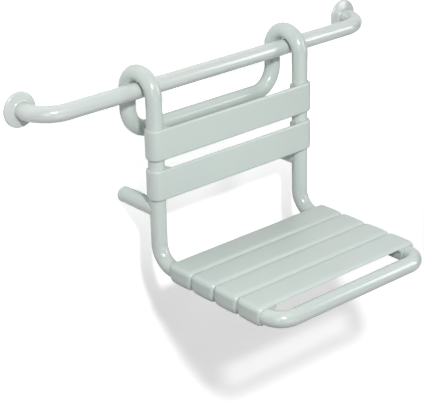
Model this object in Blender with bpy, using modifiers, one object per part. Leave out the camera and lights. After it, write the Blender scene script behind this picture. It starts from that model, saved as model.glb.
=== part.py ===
# Hang-on shower seat: a slatted seat on a bent tube frame that hooks over a wall rail.
# Metres, +Z up. The wall is the plane y = 0 and the seat faces -Y. The origin is on the wall,
# level with the rail's axis and midway between its two flanges.

from math import acos, cos, pi, radians, sin

import bmesh
import bpy
from mathutils import Matrix, Vector

# Tube stock, shared by the rail, the frame and the wall standoffs
TUBE_DIAMETER = 0.034
SHEATH_WALL = 0.004
CORE_WALL = 0.002
FIT_GAP = 0.0003

# Rail
RAIL_SPAN = 0.886
RAIL_FROM_WALL = 0.076
RAIL_BEND = 0.062
FLANGE_DIAMETER = 0.068
FLANGE_THICKNESS = 0.0025
ROSETTE_DIAMETER = 0.073
ROSETTE_HEIGHT = 0.008
ROSETTE_RIM_HEIGHT = 0.006
ROSETTE_WALL = 0.0015
ROSETTE_ROUND = 0.002
ROSETTE_COLLAR = 0.003
WALL_SCREW_CIRCLE = 0.051
WALL_SCREW_COUNT = 3
WALL_SCREW_DIAMETER = 0.005
WALL_SCREW_HEAD = 0.009
WALL_SCREW_HEAD_HEIGHT = 0.0015
WALL_SCREW_DEPTH = 0.040

# Seat frame, measured from the centre of the hooks, but the standoffs from the lower back slat's edge
SEAT_OFFSET = -0.006
FRAME_WIDTH = 0.400
HOOK_RADIUS = 0.043
BACK_BAR_DROP = 0.096
BACK_BEND = 0.053
SEAT_DROP = 0.359
SEAT_BEND = 0.046
FRONT_BAR_REACH = 0.4025
FRONT_BEND = 0.038
JOINT_BELOW_SLAT = 0.020
JOINT_PIN_LENGTH = 0.080
STANDOFF_DROP = 0.0262
PEG_DIAMETER = 0.020
BUFFER_LENGTH = 0.014
BUFFER_ROUND = 0.008
BUFFER_PLUG = 0.012

# Slats: the seat's and the back's share one section, with squarer and rounder ends. SLAT_WIDTH is the
# back's; the seat's share the side tubes from SEAT_SLAT_START, off the rear bends, to SEAT_SLAT_END,
# on the front bends' beginning.
SLAT_WIDTH = 0.065
SLAT_GAP = 0.0015
SLAT_PLATE = 0.0055
SLAT_RIB = 0.003
SLAT_RIB_DEPTH = 0.006
SLAT_RIB_PITCH = 0.018
SLAT_RIB_COUNT = 3
SLAT_EDGE_ROUND = 0.005
SLEEVE_EDGE_ROUND = 0.0028
SEAT_SLAT_CORNER = 0.008
BACK_SLAT_CORNER = 0.019
SLEEVE_WALL = 0.0042
SLEEVE_OUTER_WRAP = radians(60)
SLEEVE_INNER_WRAP = radians(30)
SLEEVE_FOOT_ROUND = 0.016
SLEEVE_FOOT_CORNER = 0.010
SEAT_SLAT_COUNT = 4
SEAT_SLAT_START = 0.005
SEAT_SLAT_END = 0.0015
UPPER_SLAT_DROP = 0.0935
BACK_SLAT_PITCH = 0.0863
SLAT_SCREW_DIAMETER = 0.004
SLAT_SCREW_HEAD = 0.008
SLAT_SCREW_HEAD_HEIGHT = 0.0024
SCREW_CLEARANCE = 0.0003

# Facets
BEND_STEPS = 5
SHEATH_RESOLUTION = 5
CORE_RESOLUTION = 2
TURN_STEPS = 20
SCREW_STEPS = 8
BORE_STEPS = 12
CORNER_STEPS = 3
FOOT_CORNER_FLATS = 2
EDGE_STEPS = 2
SMOOTH_ANGLE = radians(50)

# Radii that follow from the tube stock, taken to the flats of a bore and the corners of what fills it
tube_radius = TUBE_DIAMETER / 2
sheath_flat = cos(pi / (4 + 2 * SHEATH_RESOLUTION))
core_flat = cos(pi / (4 + 2 * CORE_RESOLUTION))
core_radius = tube_radius * sheath_flat - SHEATH_WALL - FIT_GAP
core_bore = core_radius * core_flat - CORE_WALL
pin_radius = core_bore - FIT_GAP
peg_radius = PEG_DIAMETER / 2
peg_sleeve = tube_radius * sheath_flat - peg_radius - FIT_GAP
plug_radius = peg_radius * core_flat - CORE_WALL - FIT_GAP

# The hooks hang on the rail's crown, so their centre lies below the rail's axis
hook_inner = (HOOK_RADIUS - tube_radius) * cos(pi / (4 * BEND_STEPS))
pivot = Vector((SEAT_OFFSET, -RAIL_FROM_WALL, -(hook_inner - tube_radius - FIT_GAP)))
side_x = FRAME_WIDTH / 2
front_y = -HOOK_RADIUS
back_y = HOOK_RADIUS
wall_y = RAIL_FROM_WALL
lower_slat_drop = UPPER_SLAT_DROP + BACK_SLAT_PITCH
joint_drop = lower_slat_drop + JOINT_BELOW_SLAT
standoff_drop = lower_slat_drop + SLAT_WIDTH / 2 + STANDOFF_DROP
seat_slats_rear = HOOK_RADIUS + SEAT_BEND + SEAT_SLAT_START
seat_slats_front = FRONT_BAR_REACH - FRONT_BEND + SEAT_SLAT_END
seat_slat_pitch = (seat_slats_front - seat_slats_rear + SLAT_GAP) / SEAT_SLAT_COUNT
seat_slat_width = seat_slat_pitch - SLAT_GAP

for leftover in list(bpy.data.objects):
    bpy.data.objects.remove(leftover)

parts = bpy.data.collections.new("hang_on_shower_seat")
cutters = bpy.data.collections.new("cutters")
for collection in (parts, cutters):
    bpy.context.scene.collection.children.link(collection)


def material(name, color, roughness, metallic):
    made = bpy.data.materials.new(name)
    made.use_nodes = True
    shader = made.node_tree.nodes["Principled BSDF"]
    shader.inputs["Base Color"].default_value = (*color, 1)
    shader.inputs["Roughness"].default_value = roughness
    shader.inputs["Metallic"].default_value = metallic
    return made


rail_nylon = material("rail_nylon", (0.60, 0.67, 0.645), 0.22, 0)
frame_nylon = material("frame_nylon", (0.60, 0.67, 0.645), 0.22, 0)
slat_nylon = material("slat_nylon", (0.58, 0.65, 0.625), 0.30, 0)
buffer_nylon = material("buffer_nylon", (0.57, 0.64, 0.615), 0.35, 0)
core_steel = material("core_steel", (0.50, 0.51, 0.52), 0.40, 1)
screw_steel = material("screw_steel", (0.62, 0.62, 0.63), 0.25, 1)


def make_object(name, data, finish, location=(0, 0, 0), rotation=(0, 0, 0), parent=None):
    made = bpy.data.objects.new(name, data)
    made.location = location
    made.rotation_euler = rotation
    made.parent = parent
    parts.objects.link(made)
    if not data.materials:
        data.materials.append(finish)
    data.shade_smooth()
    data.set_sharp_from_angle(angle=SMOOTH_ANGLE)
    return made


def evaluated_mesh(holder):
    """The object's mesh after its modifiers, with the holder removed."""
    graph = bpy.context.evaluated_depsgraph_get()
    graph.update()
    mesh = bpy.data.meshes.new_from_object(holder.evaluated_get(graph))
    mesh.name = holder.name
    bpy.data.objects.remove(holder)
    return mesh


def rounded_path(corners, bends):
    """Points along straight runs with a 90 degree arc at each inner corner."""
    corners = [Vector(corner) for corner in corners]
    points = [corners[0]]
    for before, corner, after, bend in zip(corners, corners[1:], corners[2:], bends):
        back = (before - corner).normalized()
        ahead = (after - corner).normalized()
        centre = corner + bend * (back + ahead)
        for step in range(BEND_STEPS + 1):
            turn = pi / 2 * step / BEND_STEPS
            points.append(centre - bend * (cos(turn) * ahead + sin(turn) * back))
    points.append(corners[-1])
    kept = points[:1]
    for point in points[1:]:
        if (point - kept[-1]).length > FIT_GAP:
            kept.append(point)
    return kept


def tube(name, corners, bends, radius, wall, resolution, finish, parent=None):
    """A bent tube, open at both ends."""
    curve = bpy.data.curves.new(name + "_path", "CURVE")
    curve.dimensions = "3D"
    curve.bevel_depth = radius
    curve.bevel_resolution = resolution
    points = rounded_path(corners, bends)
    spline = curve.splines.new("POLY")
    spline.points.add(len(points) - 1)
    for knot, point in zip(spline.points, points):
        knot.co = (*point, 1)
    holder = bpy.data.objects.new(name, curve)
    parts.objects.link(holder)
    made = make_object(name, evaluated_mesh(holder), finish, parent=parent)
    hollow = made.modifiers.new("wall", "SOLIDIFY")
    hollow.thickness = wall
    hollow.offset = -1
    hollow.use_even_offset = True
    return made


def turned(name, profile, steps):
    """A closed turned mesh about Z from (radius, height) points, top to bottom on the outer side."""
    mesh = bpy.data.meshes.new(name)
    shape = bmesh.new()
    corners = [shape.verts.new((radius, 0, height)) for radius, height in profile]
    for first, second in zip(corners, corners[1:]):
        shape.edges.new((first, second))
    if profile[0][0] > 0:
        shape.edges.new((corners[-1], corners[0]))
    shape.to_mesh(mesh)
    shape.free()
    holder = bpy.data.objects.new(name, mesh)
    parts.objects.link(holder)
    screw = holder.modifiers.new("turn", "SCREW")
    screw.steps = steps
    screw.render_steps = steps
    screw.use_merge_vertices = True
    screw.merge_threshold = 0.00001
    return evaluated_mesh(holder)


def arc(centre_x, centre_y, radius, start, end, steps):
    angles = [start + (end - start) * step / steps for step in range(steps + 1)]
    return [(centre_x + radius * cos(a), centre_y + radius * sin(a)) for a in angles]


def cutter(name, cylinders, boxes=(), parent=None):
    """A cutting tool of separate cylinders (start, end, radius) and boxes (centre, size)."""
    mesh = bpy.data.meshes.new(name)
    shape = bmesh.new()
    for start, end, radius in cylinders:
        along = Vector(end) - Vector(start)
        turn = along.to_track_quat("Z", "Y").to_matrix().to_4x4()
        place = Matrix.Translation((Vector(start) + Vector(end)) / 2) @ turn
        sides = TURN_STEPS if radius > SLAT_SCREW_DIAMETER else SCREW_STEPS
        outer = radius / cos(pi / sides)
        bmesh.ops.create_cone(shape, cap_ends=True, segments=sides, radius1=outer, radius2=outer,
                              depth=along.length, matrix=place)
    for centre, size in boxes:
        place = Matrix.Translation(centre) @ Matrix.Diagonal((*size, 1))
        bmesh.ops.create_cube(shape, size=1, matrix=place)
    shape.to_mesh(mesh)
    shape.free()
    made = bpy.data.objects.new(name, mesh)
    made.parent = parent
    made.hide_render = True
    made.display_type = "WIRE"
    cutters.objects.link(made)
    return made


def cut(target, tool):
    boolean = target.modifiers.new("cut", "BOOLEAN")
    boolean.operation = "DIFFERENCE"
    boolean.solver = "EXACT"
    boolean.object = tool


def round_outline(name, discs, thickness):
    """A flat plate in XY, centred on z = 0: the first disc (x, y, radius) less the others."""
    curve = bpy.data.curves.new(name, "CURVE")
    curve.dimensions = "2D"
    curve.fill_mode = "BOTH"
    curve.extrude = thickness / 2
    for index, (x, y, radius) in enumerate(discs):
        steps = SCREW_STEPS if index > 1 else TURN_STEPS
        spline = curve.splines.new("POLY")
        ring = arc(x, y, radius, 0, 2 * pi, steps)[:-1]
        spline.points.add(len(ring) - 1)
        for knot, point in zip(spline.points, ring):
            knot.co = (*point, 0, 1)
        spline.use_cyclic_u = True
    holder = bpy.data.objects.new(name, curve)
    parts.objects.link(holder)
    mesh = evaluated_mesh(holder)
    weld(mesh)
    return mesh


def weld(mesh):
    shape = bmesh.new()
    shape.from_mesh(mesh)
    bmesh.ops.remove_doubles(shape, verts=shape.verts, dist=0.00001)
    bmesh.ops.recalc_face_normals(shape, faces=shape.faces)
    shape.to_mesh(mesh)
    shape.free()


def screw_mesh(name, diameter, head, head_height, length):
    """A round-headed screw along Z: the head sits above z = 0 and the shank runs below it."""
    shank = diameter / 2
    dome = [(head / 2 * sin(a), head_height * cos(a)) for a in (0, pi / 4, pi / 2)]
    tip = [(shank, 0), (shank, -length + diameter), (0, -length)]
    return turned(name, dome + tip, SCREW_STEPS)


# Rail: a nylon sheath over a steel core, with a steel flange and a cover at each end
face_the_room = (pi / 2, 0, 0)
flange_bore = core_radius + FIT_GAP
sheath_start = -(FLANGE_THICKNESS + FIT_GAP)
rail_bends = (RAIL_BEND, RAIL_BEND)


def rail_corners(end_y):
    half = RAIL_SPAN / 2
    rail_y = -RAIL_FROM_WALL
    return [(-half, end_y, 0), (-half, rail_y, 0), (half, rail_y, 0), (half, end_y, 0)]


tube("rail_tube", rail_corners(sheath_start), rail_bends,
     tube_radius, SHEATH_WALL, SHEATH_RESOLUTION, rail_nylon)
tube("rail_core", rail_corners(0), rail_bends,
     core_radius, CORE_WALL, CORE_RESOLUTION, core_steel)

screw_angles = [pi / 2 + 2 * pi * i / WALL_SCREW_COUNT for i in range(WALL_SCREW_COUNT)]
screw_places = [(WALL_SCREW_CIRCLE / 2 * cos(a), WALL_SCREW_CIRCLE / 2 * sin(a)) for a in screw_angles]
wall_screw_hole = WALL_SCREW_DIAMETER / 2 + SCREW_CLEARANCE
flange_holes = [(x, y, wall_screw_hole) for x, y in screw_places]
flange_mesh = round_outline(
    "flange_plate", [(0, 0, FLANGE_DIAMETER / 2), (0, 0, flange_bore)] + flange_holes, FLANGE_THICKNESS)

rosette_radius = ROSETTE_DIAMETER / 2
rosette_bore = tube_radius + FIT_GAP
rosette_inner = rosette_radius - ROSETTE_WALL
rosette_corner = rosette_bore / cos(pi / TURN_STEPS)
rosette_profile = arc(rosette_corner + ROSETTE_COLLAR, ROSETTE_HEIGHT + ROSETTE_COLLAR,
                      ROSETTE_COLLAR, pi, 3 * pi / 2, 3)
rosette_profile += arc(rosette_radius - ROSETTE_ROUND, ROSETTE_RIM_HEIGHT - ROSETTE_ROUND,
                       ROSETTE_ROUND, pi / 2, 0, 2)
rosette_profile += [
    (rosette_radius, 0),
    (rosette_inner, 0),
    (rosette_inner, ROSETTE_RIM_HEIGHT - ROSETTE_WALL),
    (rosette_corner + ROSETTE_COLLAR, ROSETTE_HEIGHT - ROSETTE_WALL),
    (rosette_corner, ROSETTE_HEIGHT - ROSETTE_WALL),
]
rosette_mesh = turned("rosette", rosette_profile, TURN_STEPS)
wall_screw_mesh = screw_mesh("wall_screw", WALL_SCREW_DIAMETER, WALL_SCREW_HEAD,
                             WALL_SCREW_HEAD_HEIGHT, FLANGE_THICKNESS + WALL_SCREW_DEPTH)

for end, sign in (("left", -1), ("right", 1)):
    end_x = sign * RAIL_SPAN / 2
    make_object(f"flange_plate_{end}", flange_mesh, core_steel,
                (end_x, -FLANGE_THICKNESS / 2, 0), face_the_room)
    make_object(f"rosette_{end}", rosette_mesh, rail_nylon, (end_x, 0, 0), face_the_room)
    for number, (x, z) in enumerate(screw_places, 1):
        make_object(f"wall_screw_{end}_{number}", wall_screw_mesh, screw_steel,
                    (end_x + x, -FLANGE_THICKNESS - FIT_GAP, z), face_the_room)

# Seat frame: two loops of tube joined inside the lower back slat's sleeves
seat = bpy.data.objects.new("seat_pivot", None)
seat.location = pivot
parts.objects.link(seat)

hook_top = HOOK_RADIUS
upper_corners = [
    (-side_x, front_y, -joint_drop),
    (-side_x, front_y, hook_top),
    (-side_x, back_y, hook_top),
    (-side_x, back_y, -BACK_BAR_DROP),
    (side_x, back_y, -BACK_BAR_DROP),
    (side_x, back_y, hook_top),
    (side_x, front_y, hook_top),
    (side_x, front_y, -joint_drop),
]
upper_bends = (HOOK_RADIUS, HOOK_RADIUS, BACK_BEND, BACK_BEND, HOOK_RADIUS, HOOK_RADIUS)
lower_corners = [
    (-side_x, front_y, -joint_drop - FIT_GAP),
    (-side_x, front_y, -SEAT_DROP),
    (-side_x, -FRONT_BAR_REACH, -SEAT_DROP),
    (side_x, -FRONT_BAR_REACH, -SEAT_DROP),
    (side_x, front_y, -SEAT_DROP),
    (side_x, front_y, -joint_drop - FIT_GAP),
]
lower_bends = (SEAT_BEND, FRONT_BEND, FRONT_BEND, SEAT_BEND)
loops = {}
for level, corners, bends in (("upper", upper_corners, upper_bends), ("lower", lower_corners, lower_bends)):
    loops[level] = (
        tube(f"frame_{level}_tube", corners, bends, tube_radius, SHEATH_WALL,
             SHEATH_RESOLUTION, frame_nylon, seat),
        tube(f"frame_{level}_core", corners, bends, core_radius, CORE_WALL,
             CORE_RESOLUTION, core_steel, seat),
    )

pin_half = JOINT_PIN_LENGTH / 2
pin_chamfer = CORE_WALL / 2
pin_mesh = turned("joint_pin", [
    (0, pin_half),
    (pin_radius - pin_chamfer, pin_half),
    (pin_radius, pin_half - pin_chamfer),
    (pin_radius, -pin_half + pin_chamfer),
    (pin_radius - pin_chamfer, -pin_half),
    (0, -pin_half),
], SCREW_STEPS)

# Standoffs: short tubes from the uprights to the wall, each ending in a round buffer
buffer_profile = [(0, BUFFER_LENGTH + BUFFER_PLUG), (plug_radius, BUFFER_LENGTH + BUFFER_PLUG),
                  (plug_radius, BUFFER_LENGTH), (tube_radius, BUFFER_LENGTH)]
buffer_profile += arc(tube_radius - BUFFER_ROUND, BUFFER_ROUND, BUFFER_ROUND, 0, -pi / 2, 4)
buffer_profile += [(0, 0)]
buffer_mesh = turned("wall_buffer", buffer_profile, TURN_STEPS)
standoff_end = wall_y - BUFFER_LENGTH - FIT_GAP

for end, sign in (("left", -1), ("right", 1)):
    x = sign * side_x
    upright_top = (x, front_y, -standoff_drop + TUBE_DIAMETER)
    upright_bottom = (x, front_y, -standoff_drop - TUBE_DIAMETER)
    axis_line = [(x, front_y, -standoff_drop), (x, standoff_end, -standoff_drop)]
    for kind, radius, wall, resolution, upright, finish in (
        ("tube", tube_radius, peg_sleeve, SHEATH_RESOLUTION, tube_radius, frame_nylon),
        ("core", peg_radius, CORE_WALL, CORE_RESOLUTION, core_radius, core_steel),
    ):
        leg = tube(f"standoff_{kind}_{end}", axis_line, (), radius, wall, resolution, finish, seat)
        saddle = (upright_top, upright_bottom, upright + FIT_GAP)
        cut(leg, cutter(f"standoff_{kind}_{end}_saddle", [saddle], parent=seat))
    make_object(f"wall_buffer_{end}", buffer_mesh, buffer_nylon,
                (x, wall_y, -standoff_drop), face_the_room, seat)
    make_object(f"joint_pin_{end}", pin_mesh, core_steel, (x, front_y, -joint_drop), parent=seat)

# Slat: a thin plate, ribbed below, whose ends hook round the tubes
bore_step = (pi + SLEEVE_OUTER_WRAP + SLEEVE_INNER_WRAP) / BORE_STEPS
sleeve_bore = (tube_radius + FIT_GAP) / cos(bore_step / 2)
sleeve_radius = tube_radius + FIT_GAP + SLEEVE_WALL
slat_top = tube_radius + FIT_GAP + SLAT_PLATE
plate_under = slat_top - SLAT_PLATE
rib_under = plate_under - SLAT_RIB_DEPTH
ear_x = side_x - sleeve_radius


def slat_end(corner_round, square_foot):
    """The right end's outline, from the top face round the sleeve to the ribs' underside."""
    corner = arc(side_x + sleeve_radius - corner_round, slat_top - corner_round,
                 corner_round, pi / 2, 0, CORNER_STEPS)
    bore = arc(side_x, 0, sleeve_bore, -SLEEVE_OUTER_WRAP, pi + SLEEVE_INNER_WRAP, BORE_STEPS)
    ear = arc(side_x, 0, sleeve_radius, pi + SLEEVE_INNER_WRAP, pi, 2)
    if square_foot:
        foot_centre = sleeve_radius - SLEEVE_FOOT_ROUND
        lip_x = bore[0][0]
        foot_turn = acos(max(0, (lip_x - side_x - foot_centre) / SLEEVE_FOOT_ROUND))
        foot = arc(side_x + foot_centre, -foot_centre, SLEEVE_FOOT_ROUND, 0, -foot_turn, CORNER_STEPS)
        if foot[-1][0] - lip_x > FIT_GAP:
            foot.append((lip_x, -sleeve_radius))
    else:
        foot = arc(side_x, 0, sleeve_radius, 0, -SLEEVE_OUTER_WRAP, CORNER_STEPS)
    return corner + foot, bore + ear + [(ear_x, rib_under)]


def slat_mesh(name, width, corner_round, square_foot):
    skin, inside = slat_end(corner_round, square_foot)
    right = skin + inside
    left = [(-x, y) for x, y in reversed(right)]
    outline = right + left
    curve = bpy.data.curves.new(name + "_outline", "CURVE")
    curve.dimensions = "2D"
    curve.fill_mode = "BOTH"
    curve.extrude = width / 2
    spline = curve.splines.new("POLY")
    spline.points.add(len(outline) - 1)
    for knot, point in zip(spline.points, outline):
        knot.co = (*point, 0, 1)
    spline.use_cyclic_u = True
    holder = bpy.data.objects.new(name, curve)
    parts.objects.link(holder)
    mesh = evaluated_mesh(holder)
    weld(mesh)
    weigh_skin_edges(mesh, skin)
    holder = bpy.data.objects.new(name, mesh)
    parts.objects.link(holder)
    rounding = holder.modifiers.new("edge_round", "BEVEL")
    rounding.limit_method = "WEIGHT"
    rounding.width = SLAT_EDGE_ROUND
    rounding.segments = EDGE_STEPS
    rounding.use_clamp_overlap = False
    holes = [((side * (ear_x + SLEEVE_WALL * 2), 0, 0), (side * (ear_x - SLEEVE_WALL), 0, 0),
              SLAT_SCREW_DIAMETER / 2 + SCREW_CLEARANCE) for side in (-1, 1)]
    cut(holder, cutter(name + "_pockets", holes, rib_pockets(width)))
    mesh = evaluated_mesh(holder)
    if square_foot:
        take_off_foot_corners(mesh, width)
    return mesh


def rib_pockets(width):
    """Boxes that clear the underside down to the plate on both sides of each rib."""
    length = 2 * (ear_x - SLEEVE_WALL)
    depth = 2 * SLAT_RIB_DEPTH
    middle = plate_under - depth / 2
    outermost = SLAT_RIB_PITCH * (SLAT_RIB_COUNT - 1) / 2
    pockets = []
    for number in range(SLAT_RIB_COUNT - 1):
        between = SLAT_RIB_PITCH * (number + 0.5) - outermost
        pockets.append(((0, middle, between), (length, depth, SLAT_RIB_PITCH - SLAT_RIB)))
    inner = outermost + SLAT_RIB / 2
    margin = width - inner
    for side in (-1, 1):
        pockets.append(((0, middle, side * (inner + margin / 2)), (length, depth, margin)))
    return pockets


def take_off_foot_corners(mesh, width):
    """Rounds the lower corners of the feet, as seen from the slat's end, in flats about an arc."""
    shape = bmesh.new()
    shape.from_mesh(mesh)
    for side in (-1, 1):
        centre = Vector((0, SLEEVE_FOOT_CORNER - sleeve_radius, side * (width / 2 - SLEEVE_FOOT_CORNER)))
        for flat in range(FOOT_CORNER_FLATS):
            turn = pi / 2 * (flat + 0.5) / FOOT_CORNER_FLATS
            outward = Vector((0, -sin(turn), side * cos(turn)))
            everything = shape.verts[:] + shape.edges[:] + shape.faces[:]
            sliced = bmesh.ops.bisect_plane(shape, geom=everything, plane_no=outward, clear_outer=True,
                                            plane_co=centre + SLEEVE_FOOT_CORNER * outward)
            rim = [item for item in sliced["geom_cut"] if isinstance(item, bmesh.types.BMEdge)]
            bmesh.ops.holes_fill(shape, edges=rim)
    shape.to_mesh(mesh)
    shape.free()


def weigh_skin_edges(mesh, skin):
    """Marks the outer skin's two outlines for the edge rounding, which is less on the thin sleeves."""
    skin_points = [Vector((side * x, y)) for x, y in skin for side in (-1, 1)]
    shape = bmesh.new()
    shape.from_mesh(mesh)
    weights = shape.edges.layers.float.new("bevel_weight_edge")
    for edge in shape.edges:
        on_face = edge.verts[0].co.z * edge.verts[1].co.z > 0
        on_skin = all(min((Vector(v.co[:2]) - p).length for p in skin_points) < FIT_GAP
                      for v in edge.verts)
        on_rim = len({abs(face.normal.z) > 0.5 for face in edge.link_faces}) == 2
        if on_face and on_skin and on_rim:
            in_plate = edge.calc_length() > side_x
            edge[weights] = 1 if in_plate else SLEEVE_EDGE_ROUND / SLAT_EDGE_ROUND
    shape.to_mesh(mesh)
    shape.free()


seat_slat = slat_mesh("seat_slat", seat_slat_width, SEAT_SLAT_CORNER, square_foot=True)
back_slat = slat_mesh("back_slat", SLAT_WIDTH, BACK_SLAT_CORNER, square_foot=False)
slat_places = {}
for number in range(SEAT_SLAT_COUNT):
    middle = -(seat_slats_rear + seat_slat_width / 2 + number * seat_slat_pitch)
    slat_places[f"seat_slat_{number + 1}"] = ((0, middle, -SEAT_DROP), (pi / 2, 0, 0))
slat_places["back_slat_upper"] = ((0, front_y, -UPPER_SLAT_DROP), (pi, 0, 0))
slat_places["back_slat_lower"] = ((0, front_y, -lower_slat_drop), (pi, 0, 0))

# Slat screws: one through each sleeve's inner ear into the tube's core
head_x = ear_x - FIT_GAP
tip_x = side_x - core_bore - FIT_GAP
slat_screw_mesh = screw_mesh("slat_screw", SLAT_SCREW_DIAMETER, SLAT_SCREW_HEAD,
                             SLAT_SCREW_HEAD_HEIGHT, tip_x - head_x)
drills = {"upper": [], "lower": [], "standoff": []}
for name, (place, turn) in slat_places.items():
    in_seat = name.startswith("seat")
    make_object(name, seat_slat if in_seat else back_slat, slat_nylon, place, turn, seat)
    level = "lower" if in_seat else "upper"
    for end, sign in (("left", -1), ("right", 1)):
        _, y, z = place
        make_object(f"slat_screw_{name}_{end}", slat_screw_mesh, screw_steel,
                    (sign * head_x, y, z), (0, -sign * pi / 2, 0), seat)
        drills[level].append(((sign * (ear_x - SLEEVE_WALL), y, z), (sign * side_x, y, z),
                              SLAT_SCREW_DIAMETER / 2 + SCREW_CLEARANCE))

# Holes in the uprights and side tubes: slat screws, and the standoffs' cores
standoff_hole = peg_radius + FIT_GAP
for sign in (-1, 1):
    x = sign * side_x
    start = (x, front_y + core_radius / 2, -standoff_drop)
    drills["standoff"].append((start, (x, front_y + TUBE_DIAMETER, -standoff_drop), standoff_hole))
for level, (sheath, core) in loops.items():
    tool = cutter(f"frame_{level}_drill", drills[level], parent=seat)
    cut(sheath, tool)
    cut(core, tool)
cut(loops["lower"][0], cutter("standoff_drill", drills["standoff"], parent=seat))
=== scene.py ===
# Looks of the hang-on shower seat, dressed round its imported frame. Metres, wall at y = 0, seat faces -Y.
from math import acos, atan2, cos, hypot, pi, radians, sin, sqrt

import bmesh
import bpy
from mathutils import Matrix, Vector


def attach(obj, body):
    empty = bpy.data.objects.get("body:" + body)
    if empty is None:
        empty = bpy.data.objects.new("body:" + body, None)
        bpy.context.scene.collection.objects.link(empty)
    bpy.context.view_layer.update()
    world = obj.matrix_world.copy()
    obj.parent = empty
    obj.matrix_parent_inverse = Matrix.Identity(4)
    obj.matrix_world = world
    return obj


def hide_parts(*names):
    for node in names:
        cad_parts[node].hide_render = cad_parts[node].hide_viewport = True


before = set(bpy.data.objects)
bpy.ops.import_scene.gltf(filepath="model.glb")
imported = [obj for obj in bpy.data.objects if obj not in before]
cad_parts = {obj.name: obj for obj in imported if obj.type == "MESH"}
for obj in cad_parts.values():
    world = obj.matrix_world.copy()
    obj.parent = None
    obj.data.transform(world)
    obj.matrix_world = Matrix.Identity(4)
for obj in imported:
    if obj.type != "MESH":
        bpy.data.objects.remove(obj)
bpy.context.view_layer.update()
scene = bpy.context.scene
scene.view_settings.view_transform = "Standard"
print("frame loaded:", len(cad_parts), "nodes")


# shader tools: a wire is one socket, and maths on wires adds the Math nodes
class Wire:
    def __init__(self, sheet, socket):
        self.sheet = sheet
        self.socket = socket

    def work(self, operation, first, second):
        return self.sheet.node("ShaderNodeMath", {"operation": operation}, {0: first, 1: second})

    def __add__(self, other):
        return self.work("ADD", self, other)

    def __sub__(self, other):
        return self.work("SUBTRACT", self, other)

    def __rsub__(self, other):
        return self.work("SUBTRACT", other, self)

    def __mul__(self, other):
        return self.work("MULTIPLY", self, other)

    __radd__ = __add__
    __rmul__ = __mul__

    def between(self, low, high):  # 0 below low, 1 above high, smooth in between
        return self.sheet.node("ShaderNodeMapRange", {"interpolation_type": "SMOOTHSTEP"},
                               {"Value": self, "From Min": low, "From Max": high})


class NodeSheet:
    def __init__(self, owner):
        owner.use_nodes = True
        self.owner = owner
        self.tree = owner.node_tree
        self.tree.nodes.clear()

    def node(self, kind, settings=None, inputs=None, output=0):
        made = self.tree.nodes.new(kind)
        for key, value in (settings or {}).items():
            setattr(made, key, value)
        for key, value in (inputs or {}).items():
            if isinstance(value, Wire):
                self.tree.links.new(value.socket, made.inputs[key])
            else:
                made.inputs[key].default_value = value
        return Wire(self, made.outputs[output]) if made.outputs else made

    def noise(self, scale, detail, stretch=None):
        spot = self.node("ShaderNodeTexCoord", output="Object")
        if stretch:
            spot = self.node("ShaderNodeMapping", inputs={"Vector": spot, "Scale": stretch})
        return self.node("ShaderNodeTexNoise", inputs={"Vector": spot, "Scale": scale, "Detail": detail})

    def patches(self, look):  # noise cut down to patches with soft edges
        return self.noise(look["scale"], look["detail"]).between(*look["edge"])

    def blendColour(self, share, first, second):
        return self.node("ShaderNodeMix", {"data_type": "RGBA"}, {0: share, 6: first, 7: second}, 2)

    def relief(self, height, strength, distance):
        return self.node("ShaderNodeBump",
                         inputs={"Height": height, "Strength": strength, "Distance": distance})

    def surface(self, inputs):
        shader = self.node("ShaderNodeBsdfPrincipled", inputs=inputs)
        self.node("ShaderNodeOutputMaterial", inputs={"Surface": shader})
        return self.owner


def tint(colour, share=1.0):  # the share is one number or one for each channel
    return (*(Vector(colour) * share), 1)


black, white = tint((0, 0, 0)), tint((1, 1, 1))

# moulded nylon: slow drift in tone, fine specks, handling smudges in the gloss, paler worn rims
nylon = {
    "grey": (0.600, 0.668, 0.640), "cool": (0.588, 0.664, 0.640), "pale": (0.70, 0.75, 0.73),
    "index": 1.53, "coatRough": 0.19, "grainDetail": 2, "waveScale": 0.16, "bump": 0.0002,
    "drift": {"scale": 7, "detail": 3, "edge": (0.35, 0.65)},
    "specks": {"scale": 520, "detail": 1, "edge": (0.60, 0.78), "share": 0.10, "tone": 0.86, "rough": 0.03},
    "smudge": {"scale": 31, "detail": 5, "edge": (0.45, 0.75), "share": 0.04, "tone": 0.95, "rough": 0.03,
               "coat": 0.15},
    "worn": {"scale": 64, "detail": 4, "edge": (0.38, 0.62), "share": 0.12, "rough": 0.06},
}


def mouldedNylon(name, shade, gloss, coat, grain, waves, relief):
    sheet = NodeSheet(bpy.data.materials.new(name))
    speckLook, smudgeLook, wornLook = nylon["specks"], nylon["smudge"], nylon["worn"]
    drift = sheet.patches(nylon["drift"])
    specks = sheet.patches(speckLook)
    smudge = sheet.patches(smudgeLook)
    edges = sheet.node("ShaderNodeAttribute", {"attribute_name": "worn"}, output="Fac")
    worn = edges * sheet.patches(wornLook)
    speckTone = tint(nylon["grey"], shade * speckLook["tone"])
    smudgeTone = tint(nylon["cool"], shade * smudgeLook["tone"])
    colour = sheet.blendColour(drift, tint(nylon["grey"], shade), tint(nylon["cool"], shade))
    colour = sheet.blendColour(specks * speckLook["share"], colour, speckTone)
    colour = sheet.blendColour(smudge * smudgeLook["share"], colour, smudgeTone)
    colour = sheet.blendColour(worn * wornLook["share"], colour, tint(nylon["pale"], shade))
    rough = gloss + smudge * smudgeLook["rough"] + specks * speckLook["rough"] + worn * wornLook["rough"]
    ripple = sheet.noise(grain * nylon["waveScale"], nylon["grainDetail"]) * waves
    skin = sheet.noise(grain, nylon["grainDetail"]) + ripple
    return sheet.surface({
        "Base Color": colour,
        "Roughness": rough,
        "IOR": nylon["index"],
        "Coat Weight": coat - smudge * (coat * smudgeLook["coat"]),
        "Coat Roughness": nylon["coatRough"],
        "Normal": sheet.relief(skin, relief, nylon["bump"]),
    })


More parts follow.
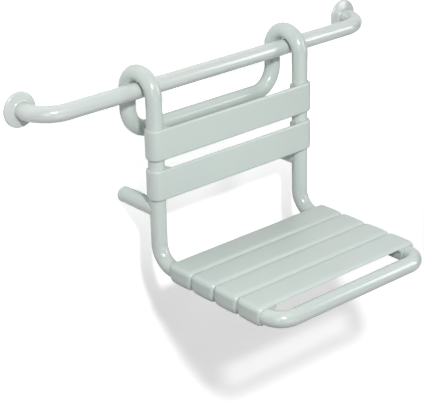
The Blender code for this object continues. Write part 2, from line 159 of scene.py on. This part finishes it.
# steel: drawn or plated, with fine scratches along one direction and dull stains
steel = {
    "relief": 0.16, "bump": 0.0002,
    "scratch": {"scale": 900, "detail": 2, "share": 0.35, "tone": 0.72, "rough": 0.16},
    "stain": {"scale": 45, "detail": 4, "edge": (0.40, 0.72), "share": 0.35, "rough": 0.10},
}


def scratchedSteel(name, tone, tarnish, gloss, stretch):
    sheet = NodeSheet(bpy.data.materials.new(name))
    scratchLook, stainLook = steel["scratch"], steel["stain"]
    drawn = sheet.noise(scratchLook["scale"], scratchLook["detail"], stretch)
    stain = sheet.patches(stainLook)
    colour = sheet.blendColour(drawn * scratchLook["share"], tint(tone), tint(tone, scratchLook["tone"]))
    colour = sheet.blendColour(stain * stainLook["share"], colour, tint(tarnish))
    return sheet.surface({
        "Base Color": colour,
        "Metallic": 1.0,
        "Roughness": gloss + drawn * scratchLook["rough"] + stain * stainLook["rough"],
        "Normal": sheet.relief(drawn, steel["relief"], steel["bump"]),
    })


finishes = {  # one material for each slot
    # the rail's nylon, also on the rosettes, is lighter and more neutral than the frame's: painted sheen
    # standing in for the highlight band along the rail
    "rail_nylon": mouldedNylon("rail_nylon_painted_sheen", shade=Vector((1.025, 0.99, 0.992)), gloss=0.17,
                               coat=0.75, grain=330, waves=1.2, relief=0.05),
    "frame_nylon": mouldedNylon("frame_nylon_gloss", shade=Vector((0.955, 0.95, 0.942)), gloss=0.17,
                                coat=0.55, grain=330, waves=1.2, relief=0.05),
    "slat_nylon": mouldedNylon("slat_nylon_satin", shade=Vector((0.97, 0.97, 0.96)), gloss=0.32,
                               coat=0.20, grain=420, waves=0.3, relief=0.03),
    "buffer_nylon": mouldedNylon("buffer_nylon_satin", shade=0.98, gloss=0.26,
                                 coat=0.15, grain=480, waves=0.8, relief=0.05),
    "core_steel": scratchedSteel("core_steel_drawn", tone=(0.50, 0.51, 0.52), tarnish=(0.40, 0.37, 0.33),
                                 gloss=0.32, stretch=(1, 1, 0.05)),
    "screw_steel": scratchedSteel("screw_steel_plated", tone=(0.62, 0.62, 0.63), tarnish=(0.56, 0.55, 0.47),
                                  gloss=0.22, stretch=(1, 0.2, 1)),
}
print("materials made")

# mesh tools
near = {"merge": 1e-6, "step": 1e-5}  # points this close are one, and a shorter step is left out
sharpFrom = radians(38)  # an edge that turns more than this stays crisp
holeSides = 24
faceRoom = Matrix.Rotation(pi / 2, 4, "X")  # turns +Z to -Y
bothEnds = (("left", -1), ("right", 1))


def finishPiece(name, bm, body, slot, node, wall=0.0):
    mesh = bpy.data.meshes.new(name)
    bm.to_mesh(mesh)
    bm.free()
    mesh.materials.append(finishes[slot])
    mesh.shade_smooth()
    mesh.set_sharp_from_angle(angle=sharpFrom)
    piece = bpy.data.objects.new(name, mesh)
    scene.collection.objects.link(piece)
    if wall:
        hollow = piece.modifiers.new("wall", "SOLIDIFY")
        hollow.thickness = wall
        hollow.offset = -1
        hollow.use_even_offset = True
    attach(piece, body)
    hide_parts(node)


def only(geom, kind):
    return [item for item in geom if isinstance(item, kind)]


def pullRing(bm, ring, step):
    if step.length < near["step"]:
        return ring
    grown = bmesh.ops.extrude_edge_only(bm, edges=ring)["geom"]
    bmesh.ops.translate(bm, verts=only(grown, bmesh.types.BMVert), vec=step)
    return only(grown, bmesh.types.BMEdge)


class Pen:  # draws an outline in the XZ plane with extruded and spun vertices
    def __init__(self, x, z):
        self.bm = bmesh.new()
        self.tip = self.bm.verts.new((x, 0, z))

    def line(self, x, z):
        if hypot(x - self.tip.co.x, z - self.tip.co.z) > near["merge"]:
            self.tip = bmesh.ops.extrude_vert_indiv(self.bm, verts=[self.tip])["verts"][0]
            self.tip.co = (x, 0, z)
        return self

    def arc(self, x, z, angle, steps):  # a positive angle turns from +Z to +X
        turned = bmesh.ops.spin(self.bm, geom=[self.tip], cent=(x, 0, z), dvec=(0, 0, 0),
                                axis=(0, 1, 0), angle=angle, steps=steps)
        self.tip = only(turned["geom_last"], bmesh.types.BMVert)[0]
        return self

    def lathe(self, steps):
        bm = self.bm
        bmesh.ops.spin(bm, geom=bm.verts[:] + bm.edges[:], cent=(0, 0, 0), dvec=(0, 0, 0),
                       axis=(0, 0, 1), angle=2 * pi, steps=steps, use_merge=True)
        bmesh.ops.remove_doubles(bm, verts=bm.verts, dist=near["merge"])
        bmesh.ops.recalc_face_normals(bm, faces=bm.faces)
        return bm


def carve(bm, tool):  # cuts the tool's solids out
    shapes = []
    for name, shape in (("blank", bm), ("tool", tool)):
        mesh = bpy.data.meshes.new(name)
        shape.to_mesh(mesh)
        shape.free()
        shapes.append(bpy.data.objects.new(name, mesh))
        scene.collection.objects.link(shapes[-1])
    blank, cutter = shapes
    cut = blank.modifiers.new("cut", "BOOLEAN")
    cut.operation = "DIFFERENCE"
    cut.solver = "EXACT"
    cut.object = cutter
    graph = bpy.context.evaluated_depsgraph_get()
    carved = bmesh.new()
    carved.from_object(blank, graph)
    for shape in shapes:
        bpy.data.objects.remove(shape)
    return carved


def drill(bm, start, end, radius):
    along = Vector(end) - Vector(start)
    turn = along.to_track_quat("Z", "Y").to_matrix().to_4x4()
    middle = Matrix.Translation((Vector(start) + Vector(end)) / 2)
    bmesh.ops.create_cone(bm, cap_ends=True, segments=holeSides, radius1=radius, radius2=radius,
                          depth=along.length, matrix=middle @ turn)


def placed(bm, place):
    copy = bm.copy()
    bmesh.ops.transform(copy, matrix=place, verts=copy.verts)
    return copy


# bent tube: a nylon sheath over a steel core, with square bends
tubeStock = {"radius": 0.017, "wall": 0.004, "coreRadius": 0.01227, "coreWall": 0.002, "gap": 0.0003,
             "sides": 48, "bendSteps": 20, "lip": 0.0006}


def sweepTube(corners, bends, radius):
    path = [Vector(corner) for corner in corners]
    start = (path[1] - path[0]).normalized() * tubeStock["lip"]
    end = (path[-1] - path[-2]).normalized() * tubeStock["lip"]
    heading = start.to_track_quat("Z", "Y").to_matrix().to_4x4()
    bm = bmesh.new()
    bmesh.ops.create_circle(bm, cap_ends=False, segments=tubeStock["sides"], radius=radius,
                            matrix=Matrix.Translation(path[0]) @ heading)
    # a ring close to each open end keeps the shading of the long faces straight
    ring = pullRing(bm, bm.edges[:], start)
    spot = path[0] + start
    for before, corner, after, bend in zip(path, path[1:], path[2:], bends):
        back = (before - corner).normalized()
        ahead = (after - corner).normalized()
        ring = pullRing(bm, ring, corner + back * bend - spot)
        ringVerts = list({vert for edge in ring for vert in edge.verts})
        centre = corner + bend * (back + ahead)
        turned = bmesh.ops.spin(bm, geom=ringVerts + ring, cent=centre, dvec=(0, 0, 0),
                                axis=ahead.cross(back), angle=pi / 2, steps=tubeStock["bendSteps"])
        ring = only(turned["geom_last"], bmesh.types.BMEdge)
        spot = corner + ahead * bend
    ring = pullRing(bm, ring, path[-1] - end - spot)
    pullRing(bm, ring, end)
    bmesh.ops.recalc_face_normals(bm, faces=bm.faces)
    return bm


# rail: sheath, core, and the flange, cover and screws at each end
rail = {"span": 0.886, "fromWall": 0.076, "bend": 0.062}
flange = {"radius": 0.034, "thick": 0.0025, "chamfer": 0.0004, "screwCircle": 0.0255, "holes": 3,
          "hole": 0.0028, "drillReach": 0.01}
rosette = {"radius": 0.0365, "height": 0.008, "rimHeight": 0.006, "wall": 0.0015, "round": 0.004,
           "collarFlare": 0.0062, "collarRise": 0.0045, "collarSteps": 10, "roundSteps": 6, "steps": 72}


def railTube(endY, radius):
    half = rail["span"] / 2
    out = -rail["fromWall"]
    corners = [(-half, endY, 0), (-half, out, 0), (half, out, 0), (half, endY, 0)]
    return sweepTube(corners, [rail["bend"]] * 2, radius)


def screwSpots():
    turns = [pi / 2 + 2 * pi * number / flange["holes"] for number in range(flange["holes"])]
    return [(flange["screwCircle"] * cos(turn), flange["screwCircle"] * sin(turn)) for turn in turns]


def flangeBlank():
    chamfer, reach = flange["chamfer"], flange["drillReach"]
    bore = tubeStock["coreRadius"] + tubeStock["gap"]
    pen = Pen(bore, 0).line(bore, flange["thick"]).line(flange["radius"] - chamfer, flange["thick"])
    pen.line(flange["radius"], flange["thick"] - chamfer).line(flange["radius"], 0).line(bore, 0)
    tool = bmesh.new()
    for x, z in screwSpots():
        drill(tool, (x, z, -reach), (x, z, reach), flange["hole"])
    return carve(pen.lathe(rosette["steps"]), tool)


def rosetteBlank():
    height, rimHeight = rosette["height"], rosette["rimHeight"]
    flare, rise, steps = rosette["collarFlare"], rosette["collarRise"], rosette["collarSteps"]
    bore = tubeStock["radius"] + tubeStock["gap"]
    shoulder = rosette["radius"] - rosette["round"]
    inner = rosette["radius"] - rosette["wall"]
    pen = Pen(bore, height - rosette["wall"])
    for step in range(steps + 1):  # the collar flares like a trumpet's mouth
        turn = pi / 2 * step / steps
        pen.line(bore + flare * (1 - cos(turn)), height + rise * (1 - sin(turn)))
    pen.line(shoulder, rimHeight).arc(shoulder, rimHeight - rosette["round"], pi / 2, rosette["roundSteps"])
    pen.line(rosette["radius"], 0).line(inner, 0).line(inner, rimHeight - rosette["wall"])
    pen.line(bore + flare, height - rosette["wall"]).line(bore, height - rosette["wall"])
    return pen.lathe(rosette["steps"])


# screws: domed heads with a hex socket, and ridged shanks; the form is in shares of a screw's own sizes
wallScrew = {"radius": 0.0025, "head": 0.0045, "dome": 0.0015, "socket": 0.0015,
             "length": 0.0425, "pitch": 0.0022}
slatScrew = {"radius": 0.0020, "head": 0.0040, "dome": 0.0024, "socket": 0.0014,
             "length": 0.0114, "pitch": 0.0014}
screwForm = {"mouth": 1.3, "mouthHeight": 0.94, "socketDepth": 0.55, "domeTurns": (35, 55, 72, 84),
             "domeFoot": 0.15, "brim": 0.12, "groove": 0.80, "taper": 0.75, "tipPitches": 2.5, "sides": 24}


def screwBlank(screw):
    radius, pitch = screw["radius"], screw["pitch"]
    socket, head, dome = screw["socket"], screw["head"], screw["dome"]
    pen = Pen(socket * screwForm["mouth"], dome * screwForm["mouthHeight"])
    for turn in screwForm["domeTurns"]:
        share = screwForm["domeFoot"] + (1 - screwForm["domeFoot"]) * cos(radians(turn))
        pen.line(head * sin(radians(turn)), dome * share)
    pen.line(head, dome * screwForm["brim"]).line(head, 0).line(radius, 0)
    depth = pitch
    while depth < screw["length"] - screwForm["tipPitches"] * pitch:
        pen.line(radius * screwForm["groove"], -depth - pitch / 2)
        depth += pitch
        pen.line(radius, -depth)
    pen.line(radius * screwForm["taper"], -depth - pitch).line(0, -screw["length"])
    bm = pen.lathe(screwForm["sides"])
    mouth = [edge for edge in bm.edges if edge.is_boundary]
    grown = bmesh.ops.extrude_edge_only(bm, edges=mouth)["geom"]
    floor = only(grown, bmesh.types.BMVert)
    bmesh.ops.translate(bm, verts=floor, vec=(0, 0, -dome * screwForm["socketDepth"]))
    for vert in floor + list({vert for edge in mouth for vert in edge.verts}):  # from round to hexagon
        turn = atan2(vert.co.y, vert.co.x)
        flat = socket / cos((turn + pi / 6) % (pi / 3) - pi / 6)
        vert.co.x = flat * cos(turn)
        vert.co.y = flat * sin(turn)
    bmesh.ops.contextual_create(bm, geom=only(grown, bmesh.types.BMEdge))
    bmesh.ops.recalc_face_normals(bm, faces=bm.faces)
    return bm


sheathEnd = -flange["thick"] - tubeStock["gap"]
finishPiece("railSheath", railTube(sheathEnd, tubeStock["radius"]), "wall_rail", "rail_nylon", "rail_tube",
            tubeStock["wall"])
finishPiece("railCore", railTube(0, tubeStock["coreRadius"]), "wall_rail", "core_steel", "rail_core",
            tubeStock["coreWall"])
flangeShape, rosetteShape, wallScrewShape = flangeBlank(), rosetteBlank(), screwBlank(wallScrew)
for end, sign in bothEnds:
    spot = Matrix.Translation((sign * rail["span"] / 2, 0, 0)) @ faceRoom
    finishPiece(f"flange.{end}", placed(flangeShape, spot), "wall_rail", "core_steel", f"flange_plate_{end}")
    finishPiece(f"rosette.{end}", placed(rosetteShape, spot), "wall_rail", "rail_nylon", f"rosette_{end}")
    for number, (x, z) in enumerate(screwSpots(), 1):
        seatOn = Matrix.Translation((x, z, flange["thick"] + tubeStock["gap"]))
        finishPiece(f"wallScrew.{end}.{number}", placed(wallScrewShape, spot @ seatOn), "wall_rail",
                    "screw_steel", f"wall_screw_{end}_{number}")
print("rail made")

# seat frame: hooks and back bar in one bent tube, uprights, sides and front bar in the other
hang = {"pivot": Vector((-0.006, -0.076, -0.00838)), "side": 0.200, "hook": 0.043, "backBar": 0.096,
        "backBend": 0.053, "seat": 0.359, "seatBend": 0.046, "front": 0.4025, "frontBend": 0.038,
        "joint": 0.1998, "standoff": 0.2385}
side, hook = hang["side"], hang["hook"]
jointSpot = (-side, -hook, -hang["joint"])
loops = {  # the left half of each loop, from the joint in the upright
    "upper": {"corners": [jointSpot, (-side, -hook, hook), (-side, hook, hook),
                          (-side, hook, -hang["backBar"])],
              "bends": [hook, hook, hang["backBend"]]},
    "lower": {"corners": [jointSpot, (-side, -hook, -hang["seat"]), (-side, -hang["front"], -hang["seat"])],
              "bends": [hang["seatBend"], hang["frontBend"]]},
}
for level, half in loops.items():
    route = half["corners"] + [(-x, y, z) for x, y, z in reversed(half["corners"])]
    route = [hang["pivot"] + Vector(point) for point in route]
    bends = half["bends"] + half["bends"][::-1]
    finishPiece(f"{level}Loop", sweepTube(route, bends, tubeStock["radius"]), "seat", "frame_nylon",
                f"frame_{level}_tube", tubeStock["wall"])

# standoffs: saddled on the uprights, each ending in a round buffer on the wall
buffer = {"length": 0.014, "round": 0.008, "steps": 10}


def standoffTube(x):
    start = hang["pivot"] + Vector((x, -hook, -hang["standoff"]))
    end = Vector((start.x, -buffer["length"], start.z))
    bm = sweepTube([start, end], [], tubeStock["radius"])
    reach = tubeStock["radius"] + tubeStock["gap"]
    for vert in bm.verts:
        if vert.co.y < start.y + 2 * tubeStock["lip"]:  # the saddle follows the upright's round
            vert.co.y += sqrt(reach ** 2 - (vert.co.x - start.x) ** 2)
    return bm


def bufferBlank():
    flat = tubeStock["radius"] - buffer["round"]
    pen = Pen(0, buffer["length"]).line(tubeStock["radius"], buffer["length"])
    pen.line(tubeStock["radius"], buffer["round"]).arc(flat, buffer["round"], pi / 2, buffer["steps"])
    return pen.line(0, 0).lathe(tubeStock["sides"])


bufferShape = bufferBlank()
for end, sign in bothEnds:
    finishPiece(f"standoff.{end}", standoffTube(sign * side), "seat", "frame_nylon", f"standoff_tube_{end}",
                tubeStock["wall"])
    spot = Vector((hang["pivot"].x + sign * side, 0, hang["pivot"].z - hang["standoff"]))
    finishPiece(f"buffer.{end}", placed(bufferShape, Matrix.Translation(spot) @ faceRoom), "seat",
                "buffer_nylon", f"wall_buffer_{end}")
print("seat frame made")

# slats: thin ribbed plates whose ends hook round the tubes
slat = {"backWidth": 0.065, "gap": 0.0015, "plate": 0.0055, "wall": 0.0042, "outerWrap": radians(60),
        "innerWrap": radians(30), "footRound": 0.016, "footCorner": 0.010, "crown": 0.0006,
        "rib": 0.003, "ribDepth": 0.006, "ribPitch": 0.018,
        "seatRear": 0.094, "seatFront": 0.366, "seatCount": 4,
        "backDrops": {"upper": 0.0935, "lower": 0.1798}, "corner": {"seat": 0.011, "back": 0.019},
        "screwHole": {"radius": 0.0023, "inside": 0.007, "outside": 0.0035},
        "steps": {"corner": 10, "end": 12, "foot": 12, "wrap": 12, "bore": 40, "ear": 5}}
# how a slat's skin is rounded off towards its long edges; a pair is a depth and the width it takes
rim = {
    "least": 0.0007,  # the thinnest skin over the bore
    "skinFrom": 0.001,  # a point of the end that is farther than this from the bore is skin
    "worn": 0.003,  # width of the paler rim
    "reach": 0.013, "steps": 16, "flats": 5,  # the rings lie close within the reach, wide apart before it
    "soon": 0.2,  # share of an end's corner in which the round of the plan comes in
    "seat": {"plate": (0.0033, 0.010), "end": (0.0020, 0.006), "plan": (0.0038, 0.011), "bulge": 0.0018,
             "draft": 0.0007, "innerLip": 0.010},
    "back": {"plate": (0.0030, 0.0045), "end": (0.0034, 0.007), "plan": (0.0, 0.013), "bulge": 0.0,
             "draft": 0.0, "innerLip": 0.010, "outerLip": 0.005},
}
sleeveBore = tubeStock["radius"] + tubeStock["gap"]
sleeve = sleeveBore + slat["wall"]
slatTop = sleeveBore + slat["plate"]
ribUnder = sleeveBore - slat["ribDepth"]
ear = side - sleeve
foot = sleeve - slat["footRound"]
seatPitch = (slat["seatFront"] - slat["seatRear"] + slat["gap"]) / slat["seatCount"]
slatWidth = {"seat": seatPitch - slat["gap"], "back": slat["backWidth"]}


def slatOutline(kind):  # the right half of a slat, seen square to its long edges
    corner, outer, steps = slat["corner"][kind], slat["outerWrap"], slat["steps"]
    high = slatTop - corner
    pen = Pen(0, slatTop).line(side + sleeve - corner, slatTop)
    pen.arc(side + sleeve - corner, high, pi / 2, steps["corner"])
    if kind == "seat":  # the seat's ends curve in under the tube
        for step in range(1, steps["end"] + 1):
            pen.line(side + sleeve, high - (high + foot) * step / steps["end"])
        turn = acos((sleeveBore * cos(outer) - foot) / slat["footRound"])
        pen.arc(side + foot, -foot, turn, steps["foot"])
    else:
        pen.line(side + sleeve, 0).arc(side, 0, outer, steps["wrap"])
    pen.line(side + sleeveBore * cos(outer), -sleeveBore * sin(outer))
    inner = pi + slat["innerWrap"]
    pen.arc(side, 0, -(inner + outer), steps["bore"])
    pen.line(side + sleeve * cos(inner), sleeve * sin(inner)).arc(side, 0, slat["innerWrap"], steps["ear"])
    return pen.line(ear, ribUnder).line(0, ribUnder).bm


def onSkin(spot):
    reach = abs(spot.x) - side
    outer = reach > 0 and hypot(reach, spot.z) > sleeveBore + rim["skinFrom"]
    return outer or spot.z > slatTop - near["merge"]


def skinTurns(spots):  # the way into the slat at each point of its outline
    turns = [Vector() for _ in spots]
    for number, spot in enumerate(spots):
        after = (number + 1) % len(spots)
        if onSkin(spot) and onSkin(spots[after]):
            along = (spots[after] - spot).normalized()
            across = Vector((along.z, 0, -along.x))
            turns[number] += across
            turns[after] += across
    area = sum(spots[n - 1].x * spots[n].z - spots[n].x * spots[n - 1].z for n in range(len(spots)))
    flip = 1 if area < 0 else -1
    return [turn.normalized() * flip for turn in turns]


def drawnIn(depth, reach, left):  # how far a round has drawn in where this much is left to its edge
    share = max(0, 1 - left / reach)
    return depth * (1 - sqrt(1 - share ** 2))


def slopedIn(depth, reach, left):  # the same for an edge that falls away without turning upright
    return depth * max(0, 1 - left / reach) ** 2


def footLip(left):  # how low a seat slat's foot reaches, less and less towards its corners
    return drawnIn(slat["footCorner"], slat["footCorner"], left) - sleeve


# moves a point of the skin, out being its distance past the tube's axis
def skinSpot(kind, out, z, inward, left):
    edge = rim[kind]
    outside = out > 0
    aside = (1 - left / (slatWidth[kind] / 2)) ** 2
    ease = min(1, (slatTop - z) / slat["corner"][kind])  # 0 on the plate, 1 from the end's corner down
    depth, reach = Vector(edge["plate"]).lerp(Vector(edge["end"]), ease)
    inset = drawnIn(depth, reach, left)
    if kind == "back" and z < 0:  # the sleeve stays round about its tube
        shrunk = 1 - min(inset, slat["wall"] - rim["least"]) / sleeve
        return out * shrunk, z * shrunk
    if kind == "seat":
        inset += (slopedIn(depth, reach, left) - inset) * (1 - ease)
    out += inward.x * inset
    if outside:  # seen from above, the end bulges and its corners are round
        out -= min(1, ease / rim["soon"]) * (drawnIn(*edge["plan"], left) + edge["bulge"] * aside)
    if kind == "seat" and z < 0:
        z *= -footLip(left) / sleeve  # the foot's corner rises with its round
    else:
        z += inward.z * inset - (1 - ease) * slat["crown"] * aside
    skin = sleeveBore + rim["least"]
    if outside and abs(z) < skin:
        out = max(out, sqrt(skin ** 2 - z ** 2))
    return out, z


def hookSpot(kind, out, z, left):  # rounds the corner that a hook has at a long edge
    hookEnd, way = ("outer", 1) if out > 0 else ("inner", -1)
    lipRound = rim[kind][f"{hookEnd}Lip"]
    wrap = slat[f"{hookEnd}Wrap"] - drawnIn(lipRound, lipRound, left) / sleeve
    turn = min(atan2(-z, abs(out)), wrap)
    across = hypot(out, z)
    return across * cos(turn) * way, -across * sin(turn)


# where a point of the outline goes in a ring that has this much left to the slat's long edge
def ringSpot(kind, spot, inward, left):
    half = slatWidth[kind] / 2
    sign = 1 if spot.x > 0 else -1
    out, z = abs(spot.x) - side, spot.z
    outside = out > 0
    if onSkin(spot):
        out, z = skinSpot(kind, out, z, Vector((inward.x * sign, 0, inward.z)), left)
    elif kind == "seat" and outside and z < footLip(left):  # the bore's edge slides up with the foot
        z = footLip(left)
        out = sqrt(sleeveBore ** 2 - z ** 2)
    if z < 0 and (kind == "back" or not outside):
        out, z = hookSpot(kind, out, z, left)
    sunk = rim[kind]["draft"] * (slatTop - z) / slatTop if outside else 0
    return (out + side) * sign if spot.x else 0, (half - left) * (1 - sunk / half), z


def ribTool(width):  # the hollows between the ribs, and the screw hole in each ear
    bm = bmesh.new()
    length = 2 * (ear - slat["wall"])
    deep = 2 * slat["ribDepth"]
    inner = slat["ribPitch"] - slat["rib"]
    outerStart = slat["ribPitch"] + slat["rib"] / 2
    pockets = [(-slat["ribPitch"] / 2, inner), (slat["ribPitch"] / 2, inner)]
    pockets += [(sign * (outerStart + width / 2), width) for sign in (-1, 1)]
    for middle, across in pockets:
        place = Matrix.Translation((0, middle, sleeveBore - deep / 2))
        bmesh.ops.create_cube(bm, size=1, matrix=place @ Matrix.Diagonal((length, across, deep, 1)))
    hole = slat["screwHole"]
    for sign in (-1, 1):
        inside, outside = sign * (ear + hole["inside"]), sign * (ear - hole["outside"])
        drill(bm, (inside, 0, 0), (outside, 0, 0), hole["radius"])
    return bm


def slatBlank(kind):
    bm = slatOutline(kind)
    bmesh.ops.mirror(bm, geom=bm.verts[:] + bm.edges[:], merge_dist=near["merge"], axis="X")
    order = bm.verts.layers.int.new("order")
    worn = bm.verts.layers.float.new("worn")
    section = bmesh.ops.contextual_create(bm, geom=bm.edges[:])["faces"]
    for number, vert in enumerate(section[0].verts):
        vert[order] = number
    spots = [vert.co.copy() for vert in section[0].verts]
    inward = skinTurns(spots)
    bmesh.ops.delete(bm, geom=section, context="FACES_ONLY")
    ring = bm.edges[:]
    reach = rim["reach"]
    half = slatWidth[kind] / 2
    lefts = [half + (reach - half) * step / rim["flats"] for step in range(1, rim["flats"])]
    lefts += [reach * (1 - sin(pi / 2 * step / rim["steps"])) for step in range(rim["steps"] + 1)]
    for left in lefts:  # half the slat, its edge drawn in ring by ring
        grown = bmesh.ops.extrude_edge_only(bm, edges=ring)["geom"]
        ring = only(grown, bmesh.types.BMEdge)
        for vert in only(grown, bmesh.types.BMVert):
            spot = spots[vert[order]]
            vert.co = ringSpot(kind, spot, inward[vert[order]], left)
            vert[worn] = max(0, 1 - left / rim["worn"]) if onSkin(spot) else 0
    bmesh.ops.contextual_create(bm, geom=ring)
    bmesh.ops.mirror(bm, geom=bm.verts[:] + bm.edges[:] + bm.faces[:], merge_dist=near["merge"], axis="Y")
    bmesh.ops.remove_doubles(bm, verts=bm.verts, dist=near["merge"])
    bmesh.ops.recalc_face_normals(bm, faces=bm.faces)
    return carve(bm, ribTool(slatWidth[kind]))


slatPlaces = {}
for number in range(slat["seatCount"]):
    middle = slat["seatRear"] + slatWidth["seat"] / 2 + number * seatPitch
    slatPlaces["seat", number + 1] = Matrix.Translation((0, -middle, -hang["seat"]))
for level, drop in slat["backDrops"].items():
    slatPlaces["back", level] = Matrix.Translation((0, -hook, -drop)) @ faceRoom
slatShapes = {kind: slatBlank(kind) for kind in slatWidth}
slatScrewShape = screwBlank(slatScrew)
for (kind, mark), place in slatPlaces.items():
    home = Matrix.Translation(hang["pivot"]) @ place
    node = f"{kind}_slat_{mark}"
    finishPiece(f"{kind}Slat.{mark}", placed(slatShapes[kind], home), "seat", "slat_nylon", node)
    for end, sign in bothEnds:
        onEar = Matrix.Translation((sign * (ear - tubeStock["gap"]), 0, 0))
        spot = home @ (onEar @ Matrix.Rotation(-sign * pi / 2, 4, "Y"))
        finishPiece(f"slatScrew.{kind}.{mark}.{end}", placed(slatScrewShape, spot), "seat",
                    "screw_steel", f"slat_screw_{node}_{end}")
print("slats made")

# the frame's inner steel stays as packed
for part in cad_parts.values():
    if not part.hide_render:
        part.data.materials.clear()
        part.data.materials.append(finishes["core_steel"])

# backdrop: a pale wall that coves into a pale floor, both clear from behind
stage = {"half": 3.5, "top": 2.4, "floor": -0.95, "cove": 0.25, "coveSteps": 16, "depth": 4.0, "off": 0.0005,
         "tone": (0.94, 0.94, 0.94),
         "bounce": {"low": -0.60, "high": -0.20, "floor": (0.10, 0.10, 0.10), "wall": (0.94, 0.94, 0.94)},
         "glow": {"low": -0.62, "high": -0.10, "least": 0.38, "most": 0.74}}


def backdropMesh():
    bm = bmesh.new()
    ends = [bm.verts.new((sign * stage["half"], stage["off"], stage["top"])) for sign in (-1, 1)]
    edge = [bm.edges.new(ends)]
    edge = pullRing(bm, edge, Vector((0, 0, stage["floor"] + stage["cove"] - stage["top"])))
    centre = (0, stage["off"] - stage["cove"], stage["floor"] + stage["cove"])
    turned = bmesh.ops.spin(bm, geom=list(edge[0].verts) + edge, cent=centre, dvec=(0, 0, 0),
                            axis=(-1, 0, 0), angle=pi / 2, steps=stage["coveSteps"])
    edge = only(turned["geom_last"], bmesh.types.BMEdge)
    pullRing(bm, edge, Vector((0, -stage["depth"], 0)))
    for face in bm.faces:
        if face.normal.y > near["merge"] or face.normal.z < -near["merge"]:
            face.normal_flip()
    return bm


def backdropPaint():
    sheet = NodeSheet(bpy.data.materials.new("backdrop"))
    path = sheet.node("ShaderNodeLightPath", output="Is Camera Ray")
    seen = path
    for ray in ("Is Glossy Ray", "Is Transmission Ray"):
        seen = seen + Wire(sheet, path.socket.node.outputs[ray])
    place = sheet.node("ShaderNodeTexCoord", output="Object")
    height = sheet.node("ShaderNodeSeparateXYZ", inputs={0: place}, output="Z")
    bounce, glow = stage["bounce"], stage["glow"]
    # bounced light meets a dark floor and a pale wall
    rise = height.between(bounce["low"], bounce["high"])
    thrown = sheet.blendColour(rise, tint(bounce["floor"]), tint(bounce["wall"]))
    colour = sheet.blendColour(seen, thrown, tint(stage["tone"]))
    paper = sheet.node("ShaderNodeBsdfDiffuse", inputs={"Color": colour})
    # the glow lifts the paper to white for the camera alone and lights nothing
    climb = height.between(glow["low"], glow["high"]) * (glow["most"] - glow["least"])
    shine = sheet.blendColour(path * (glow["least"] + climb), black, white)
    lift = sheet.node("ShaderNodeEmission", inputs={"Color": shine, "Strength": 1.0})
    front = sheet.node("ShaderNodeAddShader", inputs={0: paper, 1: lift})
    clear = sheet.node("ShaderNodeBsdfTransparent")
    behind = sheet.node("ShaderNodeNewGeometry", output="Backfacing")
    both = sheet.node("ShaderNodeMixShader", inputs={0: behind, 1: front, 2: clear})
    sheet.node("ShaderNodeOutputMaterial", inputs={"Surface": both})
    return sheet.owner


backdropShape = backdropMesh()
backdropData = bpy.data.meshes.new("backdrop")
backdropShape.to_mesh(backdropData)
backdropShape.free()
backdropData.materials.append(backdropPaint())
backdropData.shade_smooth()
backdrop = bpy.data.objects.new("backdrop", backdropData)
scene.collection.objects.link(backdrop)

# light: a small lamp high at the front left casts the shadows, and broad weak ones fill them
light = {"room": 0.06, "aim": Vector((0, -0.2, -0.2)), "lamps": {
    "key": {"way": Vector((-0.56, -1.0, 0.85)), "far": 3.6, "size": (0.28, 0.28), "power": 90.5},
    "left": {"way": Vector((-1.0, -0.8, 0.32)), "far": 3.0, "size": (0.8, 1.6), "power": 9.5},
    "right": {"way": Vector((1.0, -0.9, 0.35)), "far": 3.0, "size": (0.8, 1.6), "power": 19.5},
    "side": {"way": Vector((1.0, -0.25, 0.6)), "far": 3.0, "size": (0.8, 1.6), "power": 4},
    "top": {"way": Vector((-0.1, -0.8, 1.0)), "far": 1.3, "size": (1.0, 0.5), "power": 1.2},
    "low": {"way": Vector((-0.2, -1.0, -0.12)), "far": 3.0, "size": (2.0, 0.5), "power": 7.5},
}}
world = bpy.data.worlds.new("room")
scene.world = world
air = NodeSheet(world)
roomLight = air.node("ShaderNodeBackground", inputs={"Color": white, "Strength": light["room"]})
roomSeen = air.node("ShaderNodeBackground", inputs={"Color": white, "Strength": 1.0})
sight = air.node("ShaderNodeLightPath", output="Is Camera Ray")
roomMix = air.node("ShaderNodeMixShader", inputs={0: sight, 1: roomLight, 2: roomSeen})
air.node("ShaderNodeOutputWorld", inputs={"Surface": roomMix})
for name, lamp in light["lamps"].items():
    bulb = bpy.data.lights.new(name, "AREA")
    bulb.shape = "RECTANGLE"
    bulb.size, bulb.size_y = lamp["size"]
    bulb.energy = lamp["power"]
    holder = bpy.data.objects.new(name, bulb)
    holder.location = light["aim"] + lamp["way"].normalized() * lamp["far"]
    holder.rotation_euler = lamp["way"].to_track_quat("Z", "Y").to_euler()
    scene.collection.objects.link(holder)

# camera at the photograph's viewing angle
view = {"sensor": 36, "lens": 123.22, "place": (-1.8696, -2.2451, 0.9596), "turn": (1.1519, 0.0229, -0.7148)}
lens = bpy.data.cameras.new("camera")
lens.sensor_fit = "HORIZONTAL"
lens.sensor_width = view["sensor"]
lens.lens = view["lens"]
camera = bpy.data.objects.new("camera", lens)
camera.location = view["place"]
camera.rotation_euler = view["turn"]
scene.collection.objects.link(camera)
scene.camera = camera
print("stage, light and camera set")
